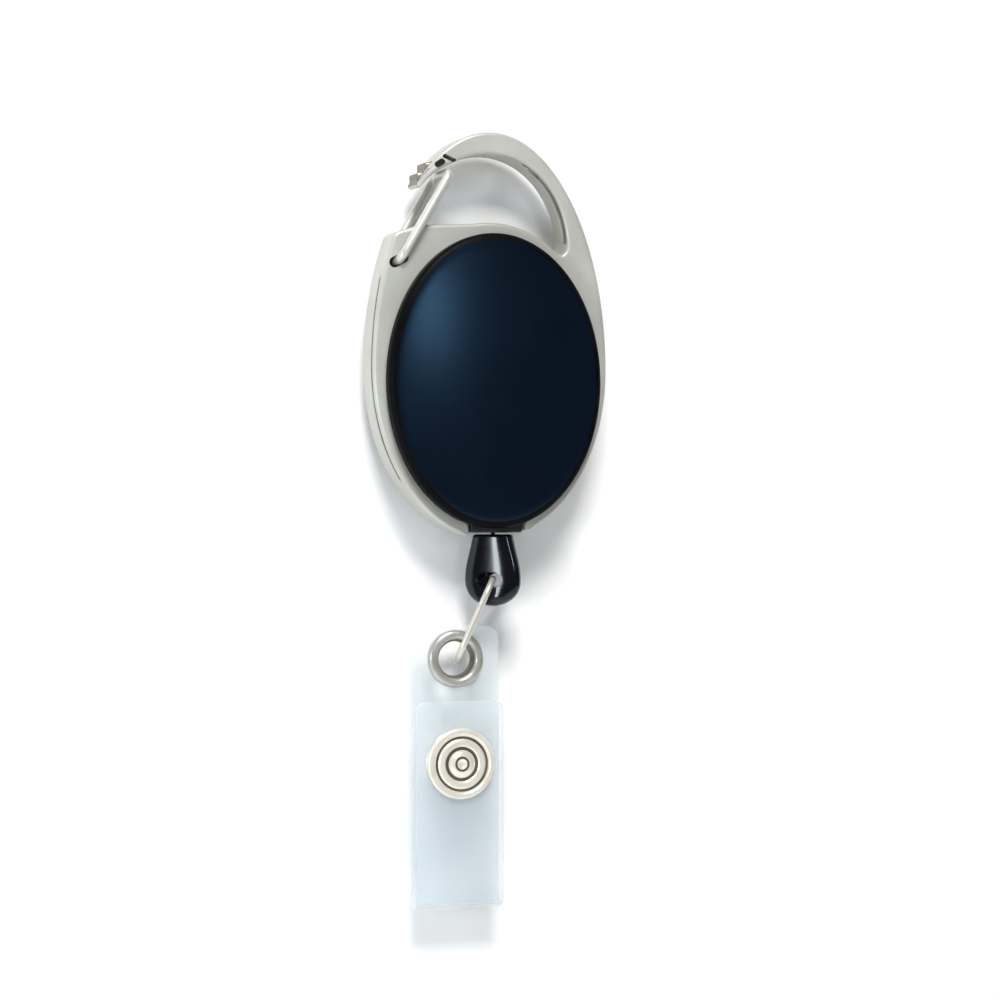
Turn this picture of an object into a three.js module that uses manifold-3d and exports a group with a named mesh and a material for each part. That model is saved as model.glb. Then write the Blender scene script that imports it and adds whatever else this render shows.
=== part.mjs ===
// Retractable badge reel: an oval frame with a spring-wire gate, a reel case with a sprung cord spool,
// a teardrop cord end, a wire link and a folded strap with a snap.
// Millimetres, +Z up. The front faces -Y, and "front" below is the distance towards -Y.
// The origin is where a hook or loop bears, on the inside of the arch's crown.
import * as THREE from "three";
import { mergeVertices } from "three/addons/utils/BufferGeometryUtils.js";
import Module from "manifold-3d";

const wasm = await Module();
wasm.setup();

// ---- driving dimensions; heights are from the spool's axis ----
const HOOK_HEIGHT = 37.0;
const FRAME = {
  halfWidth: 20.1,
  centreZ: 2.0,
  rise: 38.5,
  drop: 27.8,
  halfDepth: 3.1,
  edge: 0.3,
  holeX: 17.4,
  holeZ: 23.1,
  ringZ: 25.8,
};
const ARCH = { halfWidth: 13.2, rise: 15.0, centreZ: 22.0, blendX: -3.8 };
const NOSE = { tipX: -12.9, thickness: 1.0, ribs: 3, ribRadius: 0.5, ribPitch: 1.15 };
const SHOULDER = { innerX: -2.8, bendX: -12.3, bendZ: 25.0, outerX: -16.6 };
const GATE = { pivot: [-15.9, 19.2], crossbar: [-7.6, 33.3], wire: 0.7, bore: 1.0, bend: 1.6 };
const EXIT = { x: 0.9, front: 1.0, halfGap: 4.8, bottom: -24.6, top: -21.0 };
const COVER = { rim: 18.2, skirt: 17.1, inside: 16.1, aspect: 23.9 / 18.2, seat: 3.4, crown: 7.1 };
const CASE_SPLIT = -1.2;
const REAR_FACE = -5.0;
const CASE_SCREWS = [
  [0, 18.4],
  [10.4, -14.0],
  [-10.4, -14.0],
];
const SPOOL = { rim: 14.6, cupOuter: 12.0, cupInner: 11.0, back: -2.9, face: 3.3, bore: 2.3 };
const CORD = { radius: 0.45, windingMean: 13.5, windingInner: 12.2, windingOuter: 14.2 };
const END = { top: -24.9, bottom: -36.6, topHalf: 3.2, widest: 4.8, depth: 3.4, turn: -42 };
const END_HOLE = { z: -32.4, halfWidth: 2.4, halfHeight: 1.35 };
const LINK = { wire: 0.5, halfWidth: 3.2, length: 14.7, turn: -20, tilt: 24, top: -32.2 };
const STRAP = { halfWidth: 7.5, thickness: 0.6, top: -40.0, bottom: -85.7, flapTop: -52.0, seam: 0.05 };
const STRAP_BACK = -1.35;
const STRAP_GAP = 1.8;
const EYELET = { z: -45.2, inner: 2.8, barrel: 3.2, flange: 4.7, hole: 3.4 };
const SNAP = { z: -62.1, cap: 5.75, under: 5.2, hole: 1.3, stem: 0.9 };
const CLEARANCE = 0.3;

const rad = THREE.MathUtils.degToRad;

// ---- colours and finishes ----
const nickel = { color: 0xb4b4a8, roughness: 0.35, metalness: 1.0 };
const steel = { color: 0xc8cccc, roughness: 0.25, metalness: 1.0 };
const navy = { color: 0x0c1420, roughness: 0.35, metalness: 0.0 };
const black = { color: 0x101216, roughness: 0.3, metalness: 0.0 };
const whitePlastic = { color: 0xd8d8d4, roughness: 0.5, metalness: 0.0 };
const cordBlack = { color: 0x15161a, roughness: 0.8, metalness: 0.0 };
const vinyl = { color: 0xe6f0f5, roughness: 0.2, metalness: 0.0, opacity: 0.4, transparent: true };

// ---- solids ----
function toSolid(geometry) {
  const plain = geometry.clone();
  plain.deleteAttribute("normal");
  plain.deleteAttribute("uv");
  const merged = mergeVertices(plain, 1e-4);
  return new wasm.Manifold(
    new wasm.Mesh({
      numProp: 3,
      vertProperties: merged.attributes.position.array,
      triVerts: new Uint32Array(merged.index.array),
    }),
  );
}

function toGeometry(solid) {
  const mesh = solid.getMesh();
  return new THREE.BufferGeometry()
    .setAttribute("position", new THREE.BufferAttribute(mesh.vertProperties, 3))
    .setIndex(new THREE.BufferAttribute(mesh.triVerts, 1));
}

function cut(body, ...tools) {
  const solid = tools.reduce((left, tool) => left.subtract(toSolid(tool)), toSolid(body));
  return toGeometry(solid);
}

function join(...bodies) {
  const solid = bodies.map(toSolid).reduce((sum, body) => sum.add(body));
  return toGeometry(solid);
}

// The same outline with the points that two of its curves share kept once.
function withoutRepeats(outline, curveSegments) {
  const points = outline.getPoints(curveSegments);
  const kept = points.filter((point, i) => point.distanceTo(points.at(i - 1)) > 1e-4);
  return new THREE.Shape(kept);
}

// An outline in the X-Z plane, made solid from one frontness to another.
function plate(outline, back, front, { edge = 0, curveSegments = 16 } = {}) {
  const geometry = new THREE.ExtrudeGeometry(withoutRepeats(outline, curveSegments), {
    depth: front - back - 2 * edge,
    bevelEnabled: edge > 0,
    bevelThickness: edge,
    bevelSize: edge,
    bevelOffset: -edge,
    bevelSegments: 1,
  });
  return geometry.translate(0, 0, back + edge).rotateX(Math.PI / 2);
}

// A profile of [radius, frontness] points, turned about a line that runs front to back through (x, z).
function turned(profile, x = 0, z = 0, segments = 32) {
  const points = profile.map(([radius, front]) => new THREE.Vector2(radius, front));
  return new THREE.LatheGeometry(points, segments).rotateX(Math.PI).translate(x, 0, z);
}

// A ring or, with no inner radius, a disc that spans back to front.
function ring(inner, outer, back, front, x = 0, z = 0, segments = 32) {
  const profile = [
    [inner, back],
    [outer, back],
    [outer, front],
    [inner, front],
  ];
  return turned(inner > 0 ? [...profile, profile[0]] : profile, x, z, segments);
}

function box(x0, x1, back, front, z0, z1) {
  const geometry = new THREE.BoxGeometry(x1 - x0, front - back, z1 - z0);
  return geometry.translate((x0 + x1) / 2, -(back + front) / 2, (z0 + z1) / 2);
}

// A round bar that follows a curve.
function bar(curve, radius, sides, steps) {
  const corners = Array.from({ length: sides }, (_, i) => {
    const angle = (2 * Math.PI * i) / sides;
    return new THREE.Vector2(radius * Math.cos(angle), radius * Math.sin(angle));
  });
  const section = new THREE.Shape(corners);
  return new THREE.ExtrudeGeometry(section, { steps, extrudePath: curve, bevelEnabled: false });
}

// Straight runs through the points, with rounded corners between them.
function roundedPath(points, bend) {
  const path = new THREE.CurvePath();
  let start = points[0];
  for (let i = 1; i < points.length - 1; i++) {
    const corner = points[i];
    const before = corner.clone().sub(points[i - 1]).setLength(bend);
    const after = points[i + 1].clone().sub(corner).setLength(bend);
    const into = corner.clone().sub(before);
    const out = corner.clone().add(after);
    path.add(new THREE.LineCurve3(start, into));
    path.add(new THREE.QuadraticBezierCurve3(into, corner, out));
    start = out;
  }
  path.add(new THREE.LineCurve3(start, points[points.length - 1]));
  return path;
}

function named(name, geometry, finish) {
  const mesh = new THREE.Mesh(geometry, new THREE.MeshStandardMaterial(finish));
  mesh.name = name;
  return mesh;
}

// ---- frame and gate ----
const outerTop = (x) => Math.acos(x / FRAME.halfWidth);

function outerPoint(x) {
  const angle = outerTop(x);
  return new THREE.Vector2(x, FRAME.centreZ + FRAME.rise * Math.sin(angle));
}

function outerNormal(x) {
  const point = outerPoint(x);
  const slopeX = point.x / FRAME.halfWidth ** 2;
  const slopeZ = (point.y - FRAME.centreZ) / FRAME.rise ** 2;
  return new THREE.Vector2(slopeX, slopeZ).normalize();
}

function frameOutline() {
  const { halfWidth, centreZ, rise, drop, holeX, holeZ, ringZ } = FRAME;
  const gapRight = EXIT.x + EXIT.halfGap;
  const gapLeft = EXIT.x - EXIT.halfGap;
  const shape = new THREE.Shape();
  // outside, from the bottom gap up the right side and over the crown to the nose's tip
  shape.absellipse(0, centreZ, halfWidth, drop, -Math.acos(gapRight / halfWidth), 0, false);
  shape.absellipse(0, centreZ, halfWidth, rise, 0, outerTop(NOSE.tipX), false);
  // back under the nose, then the arch's inside down to the ring
  const tipNormal = outerNormal(NOSE.tipX);
  const tip = outerPoint(NOSE.tipX).sub(tipNormal.clone().multiplyScalar(NOSE.thickness));
  const alongNose = new THREE.Vector2(tipNormal.y, -tipNormal.x).multiplyScalar(3.9);
  const noseBend = tip.clone().add(alongNose);
  const blendAngle = Math.acos(ARCH.blendX / ARCH.halfWidth);
  shape.lineTo(tip.x, tip.y);
  shape.quadraticCurveTo(
    noseBend.x,
    noseBend.y,
    ARCH.blendX,
    ARCH.centreZ + ARCH.rise * Math.sin(blendAngle),
  );
  shape.absellipse(0, ARCH.centreZ, ARCH.halfWidth, ARCH.rise, blendAngle, 0, true);
  const ringStart = Math.acos((ARCH.halfWidth - 1.0) / halfWidth);
  shape.absellipse(0, 0, halfWidth, ringZ, ringStart, outerTop(SHOULDER.innerX), false);
  // the shoulder, then the outside down the left to the gap
  shape.lineTo(SHOULDER.bendX, SHOULDER.bendZ);
  shape.absellipse(0, centreZ, halfWidth, rise, outerTop(SHOULDER.outerX), Math.PI, false);
  shape.absellipse(0, centreZ, halfWidth, drop, Math.PI, 2 * Math.PI - Math.acos(gapLeft / halfWidth), false);
  // the oval hole that holds the case, back to the right of the gap
  shape.absellipse(0, 0, holeX, holeZ, 2 * Math.PI - Math.acos(gapLeft / holeX), -Math.acos(gapRight / holeX), true);
  shape.closePath();
  return shape;
}

// A shallow channel along the arch's inside on the right, open towards the opening.
function archChannel() {
  const depth = 0.8;
  const channel = new THREE.Shape();
  const { halfWidth, rise, centreZ } = ARCH;
  channel.absellipse(0, centreZ, halfWidth + depth, rise + depth, 0.05, 1.15, false);
  channel.absellipse(0, centreZ, halfWidth - 1, rise - 1, 1.15, 0.05, true);
  channel.closePath();
  return plate(channel, 0.2, 2.4, { curveSegments: 10 });
}

function noseRibs() {
  return Array.from({ length: NOSE.ribs }, (_, i) => {
    const x = NOSE.tipX + 0.4 + i * NOSE.ribPitch;
    const centre = outerPoint(x).sub(outerNormal(x).multiplyScalar(0.15));
    const half = FRAME.halfDepth - 0.4;
    return ring(0, NOSE.ribRadius, -half, half, centre.x, centre.y, 10);
  });
}

// Two pockets across the nose's outside, behind the ribs.
function nosePockets() {
  return [-8.6, -6.9].map((x) => {
    const centre = outerPoint(x);
    const normal = outerNormal(x);
    const pocket = new THREE.BoxGeometry(1.2, 2 * FRAME.halfDepth - 2, 1.2);
    pocket.rotateY(-Math.atan2(normal.y, normal.x) + Math.PI / 2);
    return pocket.translate(centre.x, 0, centre.y);
  });
}

function carabinerFrame() {
  const body = plate(frameOutline(), -FRAME.halfDepth, FRAME.halfDepth, { edge: FRAME.edge, curveSegments: 14 });
  const gateBore = ring(0, GATE.bore, -5, 5, ...GATE.pivot, 16);
  const shaped = cut(body, archChannel(), gateBore, ...nosePockets());
  return named("carabiner_frame", join(shaped, ...noseRibs()), nickel);
}

function gateWire() {
  const reach = FRAME.halfDepth + CLEARANCE + GATE.wire;
  const tail = 1.3;
  const at = ([x, z], front) => new THREE.Vector3(x, -front, z);
  const corners = [
    at(GATE.pivot, tail),
    at(GATE.pivot, reach),
    at(GATE.crossbar, reach),
    at(GATE.crossbar, -reach),
    at(GATE.pivot, -reach),
    at(GATE.pivot, -tail),
  ];
  return named("gate_wire", bar(roundedPath(corners, GATE.bend), GATE.wire, 8, 60), steel);
}

// ---- reel case ----
const oval = (geometry) => geometry.scale(1, 1, COVER.aspect);

function exitNotch() {
  const half = EXIT.halfGap;
  return box(EXIT.x - half, EXIT.x + half, -FRAME.halfDepth, FRAME.halfDepth, -27, -19.5);
}

function frontCover() {
  const { rim, skirt, inside, seat, crown } = COVER;
  const split = CASE_SPLIT + CLEARANCE / 2;
  const shell = oval(
    turned(
      [
        [0, crown - 1.2],
        [10, crown - 1.5],
        [inside - 0.9, 4.7],
        [inside, 4.0],
        [inside, split],
        [skirt, split],
        [skirt, seat],
        [rim, seat],
        [rim, 5.2],
        [rim - 0.3, 5.7],
        [rim - 1.2, 6.2],
        [13, 6.65],
        [7, 7.0],
        [0, crown],
      ],
      0,
      0,
      48,
    ),
  );
  const bosses = CASE_SCREWS.map(([x, z]) => ring(0, 1.9, split, 5.0, x, z, 16));
  const bores = CASE_SCREWS.map(([x, z]) => ring(0, 0.95, split - 1, 3.6, x, z, 12));
  return named("front_cover", cut(join(shell, ...bosses), exitNotch(), ...bores), navy);
}

function rearCover() {
  const { rim, skirt, inside } = COVER;
  const split = CASE_SPLIT - CLEARANCE / 2;
  const seat = -COVER.seat;
  const shell = oval(
    turned(
      [
        [0, REAR_FACE],
        [rim - 1.4, REAR_FACE],
        [rim - 0.5, REAR_FACE + 0.3],
        [rim, REAR_FACE + 0.9],
        [rim, seat],
        [skirt, seat],
        [skirt, split],
        [inside, split],
        [inside, seat],
        [0, seat],
      ],
      0,
      0,
      48,
    ),
  );
  const bosses = CASE_SCREWS.map(([x, z]) => ring(0, 1.9, -4, split, x, z, 16));
  const bores = CASE_SCREWS.map(([x, z]) => ring(0, 0.95, REAR_FACE - 1, 0, x, z, 12));
  const heads = CASE_SCREWS.map(([x, z]) => ring(0, 1.9, REAR_FACE - 1, -3.8, x, z, 16));
  const arborSeat = ring(0, SPOOL.bore, -4.5, 0);
  return named("rear_cover", cut(join(shell, ...bosses), exitNotch(), arborSeat, ...bores, ...heads), black);
}

function caseScrew(index, [x, z]) {
  const profile = [
    [0, -4.85],
    [1.6, -4.85],
    [1.6, -4.1],
    [0.65, -4.1],
    [0.65, 3.0],
    [0, 3.4],
  ];
  const slot = box(x - 2, x + 2, -6, -4.5, z - 0.2, z + 0.2);
  return named(`case_screw_${index + 1}`, cut(turned(profile, x, z, 16), slot), steel);
}

// A block in the frame's gap, with the cord's hole flared at the top.
function exitNozzle() {
  const half = EXIT.halfGap - CLEARANCE;
  const depth = FRAME.halfDepth - CLEARANCE;
  const outline = new THREE.Shape();
  outline.moveTo(EXIT.x - half, EXIT.bottom);
  outline.lineTo(EXIT.x + half, EXIT.bottom);
  outline.lineTo(EXIT.x + half, EXIT.top - 0.9);
  outline.lineTo(EXIT.x + half - 1.2, EXIT.top);
  outline.lineTo(EXIT.x - half + 1.2, EXIT.top);
  outline.lineTo(EXIT.x - half, EXIT.top - 0.9);
  outline.closePath();
  const flare = [
    [0, EXIT.bottom - 1],
    [0.8, EXIT.bottom - 1],
    [0.8, EXIT.top - 1.6],
    [1.8, EXIT.top + 0.1],
    [0, EXIT.top + 0.1],
  ];
  const hole = new THREE.LatheGeometry(flare.map(([r, z]) => new THREE.Vector2(r, z)), 16);
  hole.rotateX(Math.PI / 2).translate(EXIT.x, -EXIT.front, 0);
  return named("exit_nozzle", cut(plate(outline, -depth, depth), hole), black);
}

// ---- reel ----
function spool() {
  const { rim, cupOuter, cupInner, back, face, bore } = SPOOL;
  const profile = [
    [bore, back],
    [cupOuter, back],
    [cupOuter, -1.3],
    [rim, -1.3],
    [rim, -0.5],
    [cupOuter, -0.5],
    [cupOuter, 2.5],
    [rim, 2.5],
    [rim, face],
    [cupInner, face],
    [cupInner, back + 0.8],
    [bore, back + 0.8],
    [bore, back],
  ];
  return named("spool", turned(profile, 0, 0, 40), whitePlastic);
}

function spoolCap() {
  return named("spool_cap", ring(SPOOL.bore, SPOOL.cupInner - CLEARANCE, 2.5, 3.1), whitePlastic);
}

// A flat strip wound in a spiral round the arbor, out to the cup's wall.
function powerSpring() {
  const turns = 8;
  const stepsPerTurn = 20;
  const inner = 2.7;
  const outer = SPOOL.cupInner - 0.5;
  const halfStrip = 0.15;
  const count = turns * stepsPerTurn;
  const edge = (offset) =>
    Array.from({ length: count + 1 }, (_, i) => {
      const angle = (2 * Math.PI * i) / stepsPerTurn;
      const radius = inner + ((outer - inner) * i) / count + offset;
      return new THREE.Vector2(radius * Math.cos(angle), radius * Math.sin(angle));
    });
  const strip = new THREE.Shape([...edge(halfStrip), ...edge(-halfStrip).reverse()]);
  return named("power_spring", plate(strip, -1.8, 2.2), steel);
}

function arbor() {
  const post = ring(0, SPOOL.bore - CLEARANCE, -4.2, 3.5, 0, 0, 24);
  const bore = ring(0, 1.1, -0.3, 6, 0, 0, 16);
  const slot = box(0, 3, -1.9, 6, -0.3, 0.3);
  return named("arbor", cut(post, bore, slot), steel);
}

function arborWasher() {
  return named("arbor_washer", ring(1.2, 3.2, 3.8, 4.3, 0, 0, 24), steel);
}

function arborScrew() {
  const profile = [
    [0, 0],
    [0.8, 0.3],
    [0.8, 4.6],
    [1.9, 4.6],
    [1.9, 5.2],
    [1.4, 5.5],
    [0, 5.5],
  ];
  const slot = box(-3, 3, 5.1, 7, -0.2, 0.2);
  return named("arbor_screw", cut(turned(profile, 0, 0, 20), slot), steel);
}

// ---- cord ----
function cordWinding() {
  const { windingInner, windingOuter } = CORD;
  const profile = [
    [windingInner, -0.35],
    [windingOuter - 0.3, -0.35],
    [windingOuter, 0],
    [windingOuter, 2.0],
    [windingOuter - 0.3, 2.35],
    [windingInner, 2.35],
    [windingInner, -0.35],
  ];
  return named("cord_winding", turned(profile, 0, 0, 40), cordBlack);
}

// The cord leaves the winding on a tangent and turns down into the exit.
function cordLead() {
  const mouth = new THREE.Vector2(EXIT.x, EXIT.top - 0.8);
  const swing = Math.acos(CORD.windingMean / mouth.length());
  const angle = mouth.angle() + swing;
  const contact = new THREE.Vector2(Math.cos(angle), Math.sin(angle)).multiplyScalar(CORD.windingMean);
  const along = mouth.clone().sub(contact).normalize();
  const start = contact.add(along.multiplyScalar(6.0));
  const corners = [
    new THREE.Vector3(start.x, -EXIT.front, start.y),
    new THREE.Vector3(mouth.x, -EXIT.front, mouth.y),
    new THREE.Vector3(EXIT.x, -EXIT.front, mouth.y - 1.2),
  ];
  return named("cord_lead", bar(roundedPath(corners, 1.0), CORD.radius, 8, 14), cordBlack);
}

function cordRun() {
  const path = new THREE.LineCurve3(
    new THREE.Vector3(EXIT.x, -EXIT.front, -23.2),
    new THREE.Vector3(EXIT.x, -EXIT.front, -28.8),
  );
  return named("cord_run", bar(path, CORD.radius, 8, 2), cordBlack);
}

function cordStop() {
  const knot = new THREE.SphereGeometry(0.95, 14, 10).translate(EXIT.x, -EXIT.front, -29.9);
  return named("cord_stop", knot, cordBlack);
}

// A teardrop with a long hole across it, and a bore from the top that ends in the knot's pocket.
function cordEnd() {
  const { top, bottom, topHalf, widest, depth } = END;
  const belly = -32.2;
  const outline = new THREE.Shape();
  outline.moveTo(-topHalf, top);
  outline.bezierCurveTo(-topHalf - 0.3, -27.5, -widest, -29.5, -widest, belly);
  outline.bezierCurveTo(-widest, -34.6, -widest + 1.7, bottom, -1.6, bottom);
  outline.lineTo(1.6, bottom);
  outline.bezierCurveTo(widest - 1.7, bottom, widest, -34.6, widest, belly);
  outline.bezierCurveTo(widest, -29.5, topHalf + 0.3, -27.5, topHalf, top);
  outline.closePath();
  const hole = new THREE.Shape();
  hole.absellipse(0, END_HOLE.z, END_HOLE.halfWidth, END_HOLE.halfHeight, 0, 2 * Math.PI, false);
  const body = plate(outline, -depth / 2, depth / 2, { edge: 0.9, curveSegments: 8 });
  const across = plate(hole, -depth, depth, { curveSegments: 10 });
  const bore = new THREE.CylinderGeometry(0.8, 0.8, 8, 14).rotateX(Math.PI / 2).translate(0, 0, -28);
  const pocket = new THREE.CylinderGeometry(1.25, 1.25, 3.4, 14).rotateX(Math.PI / 2).translate(0, 0, -30.3);
  const mesh = named("cord_end", cut(body, across, bore, pocket), black);
  mesh.position.set(EXIT.x, -EXIT.front, 0);
  mesh.rotation.z = rad(END.turn);
  return mesh;
}

// ---- link ----
// A wire ring with straight sides, hanging in the teardrop's hole.
function linkRing() {
  const straight = LINK.length - 2 * LINK.halfWidth;
  const geometry = new THREE.TorusGeometry(LINK.halfWidth, LINK.wire, 10, 32);
  const position = geometry.getAttribute("position");
  for (let i = 0; i < position.count; i++) {
    const y = position.getY(i);
    if (Math.abs(y) > 1e-3) position.setY(i, y + (Math.sign(y) * straight) / 2);
  }
  geometry.translate(0, -LINK.length / 2, 0).rotateX(Math.PI / 2).rotateZ(Math.PI / 2);
  return named("link_ring", geometry, steel);
}

function linkHanger() {
  const turn = new THREE.Group();
  turn.position.set(EXIT.x, -EXIT.front, LINK.top);
  turn.rotation.z = rad(LINK.turn);
  const tilt = new THREE.Group();
  tilt.rotation.y = rad(LINK.tilt);
  tilt.add(linkRing());
  turn.add(tilt);
  return turn;
}

// Where the link's lower end lies, which the eyelet hangs from.
function linkFoot() {
  const foot = new THREE.Vector3(0, 0, -LINK.length);
  foot.applyAxisAngle(new THREE.Vector3(0, 1, 0), rad(LINK.tilt));
  foot.applyAxisAngle(new THREE.Vector3(0, 0, 1), rad(LINK.turn));
  return foot.add(new THREE.Vector3(EXIT.x, -EXIT.front, LINK.top));
}

// ---- strap ----
const strapX = linkFoot().x - 0.2;
const flapBack = STRAP_BACK + STRAP.thickness + STRAP_GAP;
const flapFront = flapBack + STRAP.thickness;
const foldRadius = (flapFront - STRAP_BACK) / 2;
const foldZ = STRAP.bottom + foldRadius;

function bandOutline(bottom, top, corner) {
  const half = STRAP.halfWidth;
  const outline = new THREE.Shape();
  outline.moveTo(strapX - half, bottom);
  outline.lineTo(strapX + half, bottom);
  outline.lineTo(strapX + half, top - corner);
  outline.absarc(strapX + half - corner, top - corner, corner, 0, Math.PI / 2, false);
  outline.absarc(strapX - half + corner, top - corner, corner, Math.PI / 2, Math.PI, false);
  outline.closePath();
  return outline;
}

// Half a tube across the strap's bottom, between the two layers.
function strapFold() {
  const section = new THREE.Shape();
  const inner = foldRadius - STRAP.thickness;
  section.absarc(0, 0, foldRadius, Math.PI, 2 * Math.PI, false);
  section.absarc(0, 0, inner, 2 * Math.PI, Math.PI, true);
  section.closePath();
  const width = 2 * STRAP.halfWidth;
  const fold = new THREE.ExtrudeGeometry(section, { depth: width, curveSegments: 8, bevelEnabled: false });
  const frontward = new THREE.Vector3(0, -1, 0);
  const upward = new THREE.Vector3(0, 0, 1);
  const leftward = new THREE.Vector3(-1, 0, 0);
  fold.applyMatrix4(new THREE.Matrix4().makeBasis(frontward, upward, leftward));
  fold.translate(strapX + STRAP.halfWidth, -(STRAP_BACK + foldRadius), foldZ);
  return named("strap_fold", fold, vinyl);
}

function strapBack() {
  const front = STRAP_BACK + STRAP.thickness;
  const bottom = foldZ + STRAP.seam;
  const band = plate(bandOutline(bottom, STRAP.top, 1.6), STRAP_BACK, front, { curveSegments: 4 });
  const eyeletHole = ring(0, EYELET.hole, -9, 9, strapX, EYELET.z, 24);
  const snapHole = ring(0, SNAP.hole, -9, 0, strapX, SNAP.z, 12);
  return named("strap_back", cut(band, eyeletHole, snapHole), vinyl);
}

function strapFlap() {
  const bottom = foldZ + STRAP.seam;
  const band = plate(bandOutline(bottom, STRAP.flapTop, 1.2), flapBack, flapFront, { curveSegments: 4 });
  return named("strap_flap", cut(band, ring(0, SNAP.hole, -9, 9, strapX, SNAP.z, 12)), vinyl);
}

function eyelet() {
  const front = STRAP_BACK + STRAP.thickness;
  const profile = [
    [EYELET.inner, STRAP_BACK - 0.6],
    [EYELET.barrel, STRAP_BACK - 0.6],
    [EYELET.barrel, front + 0.05],
    [EYELET.flange, front + 0.05],
    [EYELET.flange, front + 0.35],
    [EYELET.flange - 0.7, front + 0.75],
    [EYELET.inner + 0.4, front + 0.7],
    [EYELET.inner, front + 0.2],
    [EYELET.inner, STRAP_BACK - 0.6],
  ];
  return named("eyelet", turned(profile, strapX, EYELET.z, 32), nickel);
}

function eyeletWasher() {
  const washer = ring(EYELET.hole, EYELET.flange, STRAP_BACK - 0.65, STRAP_BACK - 0.05, strapX, EYELET.z);
  return named("eyelet_washer", washer, nickel);
}

function snapCap() {
  const base = flapFront + 0.05;
  const profile = [
    [0, flapBack - 0.5],
    [SNAP.stem, flapBack - 0.5],
    [SNAP.stem, base],
    [SNAP.cap, base],
    [SNAP.cap, base + 0.4],
    [SNAP.cap - 0.5, base + 0.85],
    [4.4, base + 0.8],
    [3.9, base + 0.45],
    [3.4, base + 0.8],
    [3.0, base + 0.8],
    [2.6, base + 0.45],
    [2.1, base + 0.9],
    [1.2, base + 1.1],
    [0, base + 1.15],
  ];
  return named("snap_cap", turned(profile, strapX, SNAP.z, 28), nickel);
}

function snapSocket() {
  const profile = [
    [1.2, flapBack - 0.8],
    [2.3, flapBack - 0.8],
    [2.3, flapBack - 1.15],
    [3.3, flapBack - 1.15],
    [3.6, flapBack - 0.8],
    [SNAP.under, flapBack - 0.6],
    [SNAP.under, flapBack - 0.05],
    [1.2, flapBack - 0.05],
    [1.2, flapBack - 0.8],
  ];
  return named("snap_socket", turned(profile, strapX, SNAP.z, 32), nickel);
}

function snapStud() {
  const base = STRAP_BACK + STRAP.thickness + 0.05;
  const profile = [
    [0, base],
    [SNAP.under, base],
    [SNAP.under, base + 0.4],
    [1.5, base + 0.45],
    [1.8, base + 0.75],
    [1.5, base + 0.9],
    [0, base + 0.9],
  ];
  return named("snap_stud", turned(profile, strapX, SNAP.z, 32), nickel);
}

function snapPost() {
  const profile = [
    [0, STRAP_BACK - 0.75],
    [SNAP.under - 0.9, STRAP_BACK - 0.75],
    [SNAP.under - 0.2, STRAP_BACK - 0.45],
    [SNAP.under - 0.2, STRAP_BACK - 0.05],
    [SNAP.stem, STRAP_BACK - 0.05],
    [SNAP.stem, STRAP_BACK + STRAP.thickness],
    [0, STRAP_BACK + STRAP.thickness],
  ];
  return named("snap_post", turned(profile, strapX, SNAP.z, 28), nickel);
}

// ---- the whole reel, hung from its hook point ----
const reel = new THREE.Group();
reel.position.z = -HOOK_HEIGHT;
reel.add(carabinerFrame(), gateWire());
reel.add(frontCover(), rearCover(), exitNozzle());
CASE_SCREWS.forEach((place, index) => reel.add(caseScrew(index, place)));
reel.add(spool(), spoolCap(), powerSpring(), arbor(), arborWasher(), arborScrew());
reel.add(cordWinding(), cordLead(), cordRun(), cordStop(), cordEnd());
reel.add(linkHanger());
reel.add(strapBack(), strapFold(), strapFlap(), eyelet(), eyeletWasher());
reel.add(snapCap(), snapSocket(), snapStud(), snapPost());

const badgeReel = new THREE.Group();
badgeReel.add(reel);
export default badgeReel;
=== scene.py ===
import math

import bmesh
import bpy
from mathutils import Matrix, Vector, kdtree


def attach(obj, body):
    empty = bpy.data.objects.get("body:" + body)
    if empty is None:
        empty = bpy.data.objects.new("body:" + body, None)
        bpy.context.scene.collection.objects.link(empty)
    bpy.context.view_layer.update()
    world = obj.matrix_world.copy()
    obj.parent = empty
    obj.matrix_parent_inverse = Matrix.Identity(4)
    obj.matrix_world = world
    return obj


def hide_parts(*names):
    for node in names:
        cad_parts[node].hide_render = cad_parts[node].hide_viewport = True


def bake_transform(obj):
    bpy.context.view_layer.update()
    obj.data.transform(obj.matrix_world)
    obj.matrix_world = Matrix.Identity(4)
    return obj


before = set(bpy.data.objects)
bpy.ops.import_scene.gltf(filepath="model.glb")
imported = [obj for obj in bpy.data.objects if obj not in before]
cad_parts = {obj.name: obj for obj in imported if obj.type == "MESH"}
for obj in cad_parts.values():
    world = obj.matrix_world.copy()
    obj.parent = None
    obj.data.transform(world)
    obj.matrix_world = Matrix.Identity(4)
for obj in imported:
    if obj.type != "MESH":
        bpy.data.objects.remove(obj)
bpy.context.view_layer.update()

# ---- sizes in millimetres; heights are from the spool's axis, and front is the distance towards -Y ----
MM = 0.001
HOOK_HEIGHT = 37.0
HALF_WIDTH, CENTRE_Z, RISE, DROP = 20.1, 2.0, 38.5, 27.8
FRAME_HALF_DEPTH, FRAME_ROUND = 3.1, 0.55
HOLE_X, HOLE_Z, RING_Z = 17.4, 23.1, 25.8
ARCH_HALF_WIDTH, ARCH_RISE, ARCH_Z, ARCH_BLEND_X = 13.2, 15.0, 22.0, -3.8
NOSE_TIP_X, NOSE_THICKNESS, NOSE_REACH = -12.9, 1.0, 3.9
NOSE_RIGHT, NOSE_LOW = -3.5, 29.0
SHOULDER_X, SHOULDER_BEND, SHOULDER_OUTER_X = -2.8, (-12.3, 25.0), -16.6
PIVOT, CROSSBAR = (-15.9, 19.2), (-7.42, 33.6)
GATE_WIRE, GATE_REACH, GATE_TAIL, GATE_BEND = 0.74, 4.1, 1.3, 1.9
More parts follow.
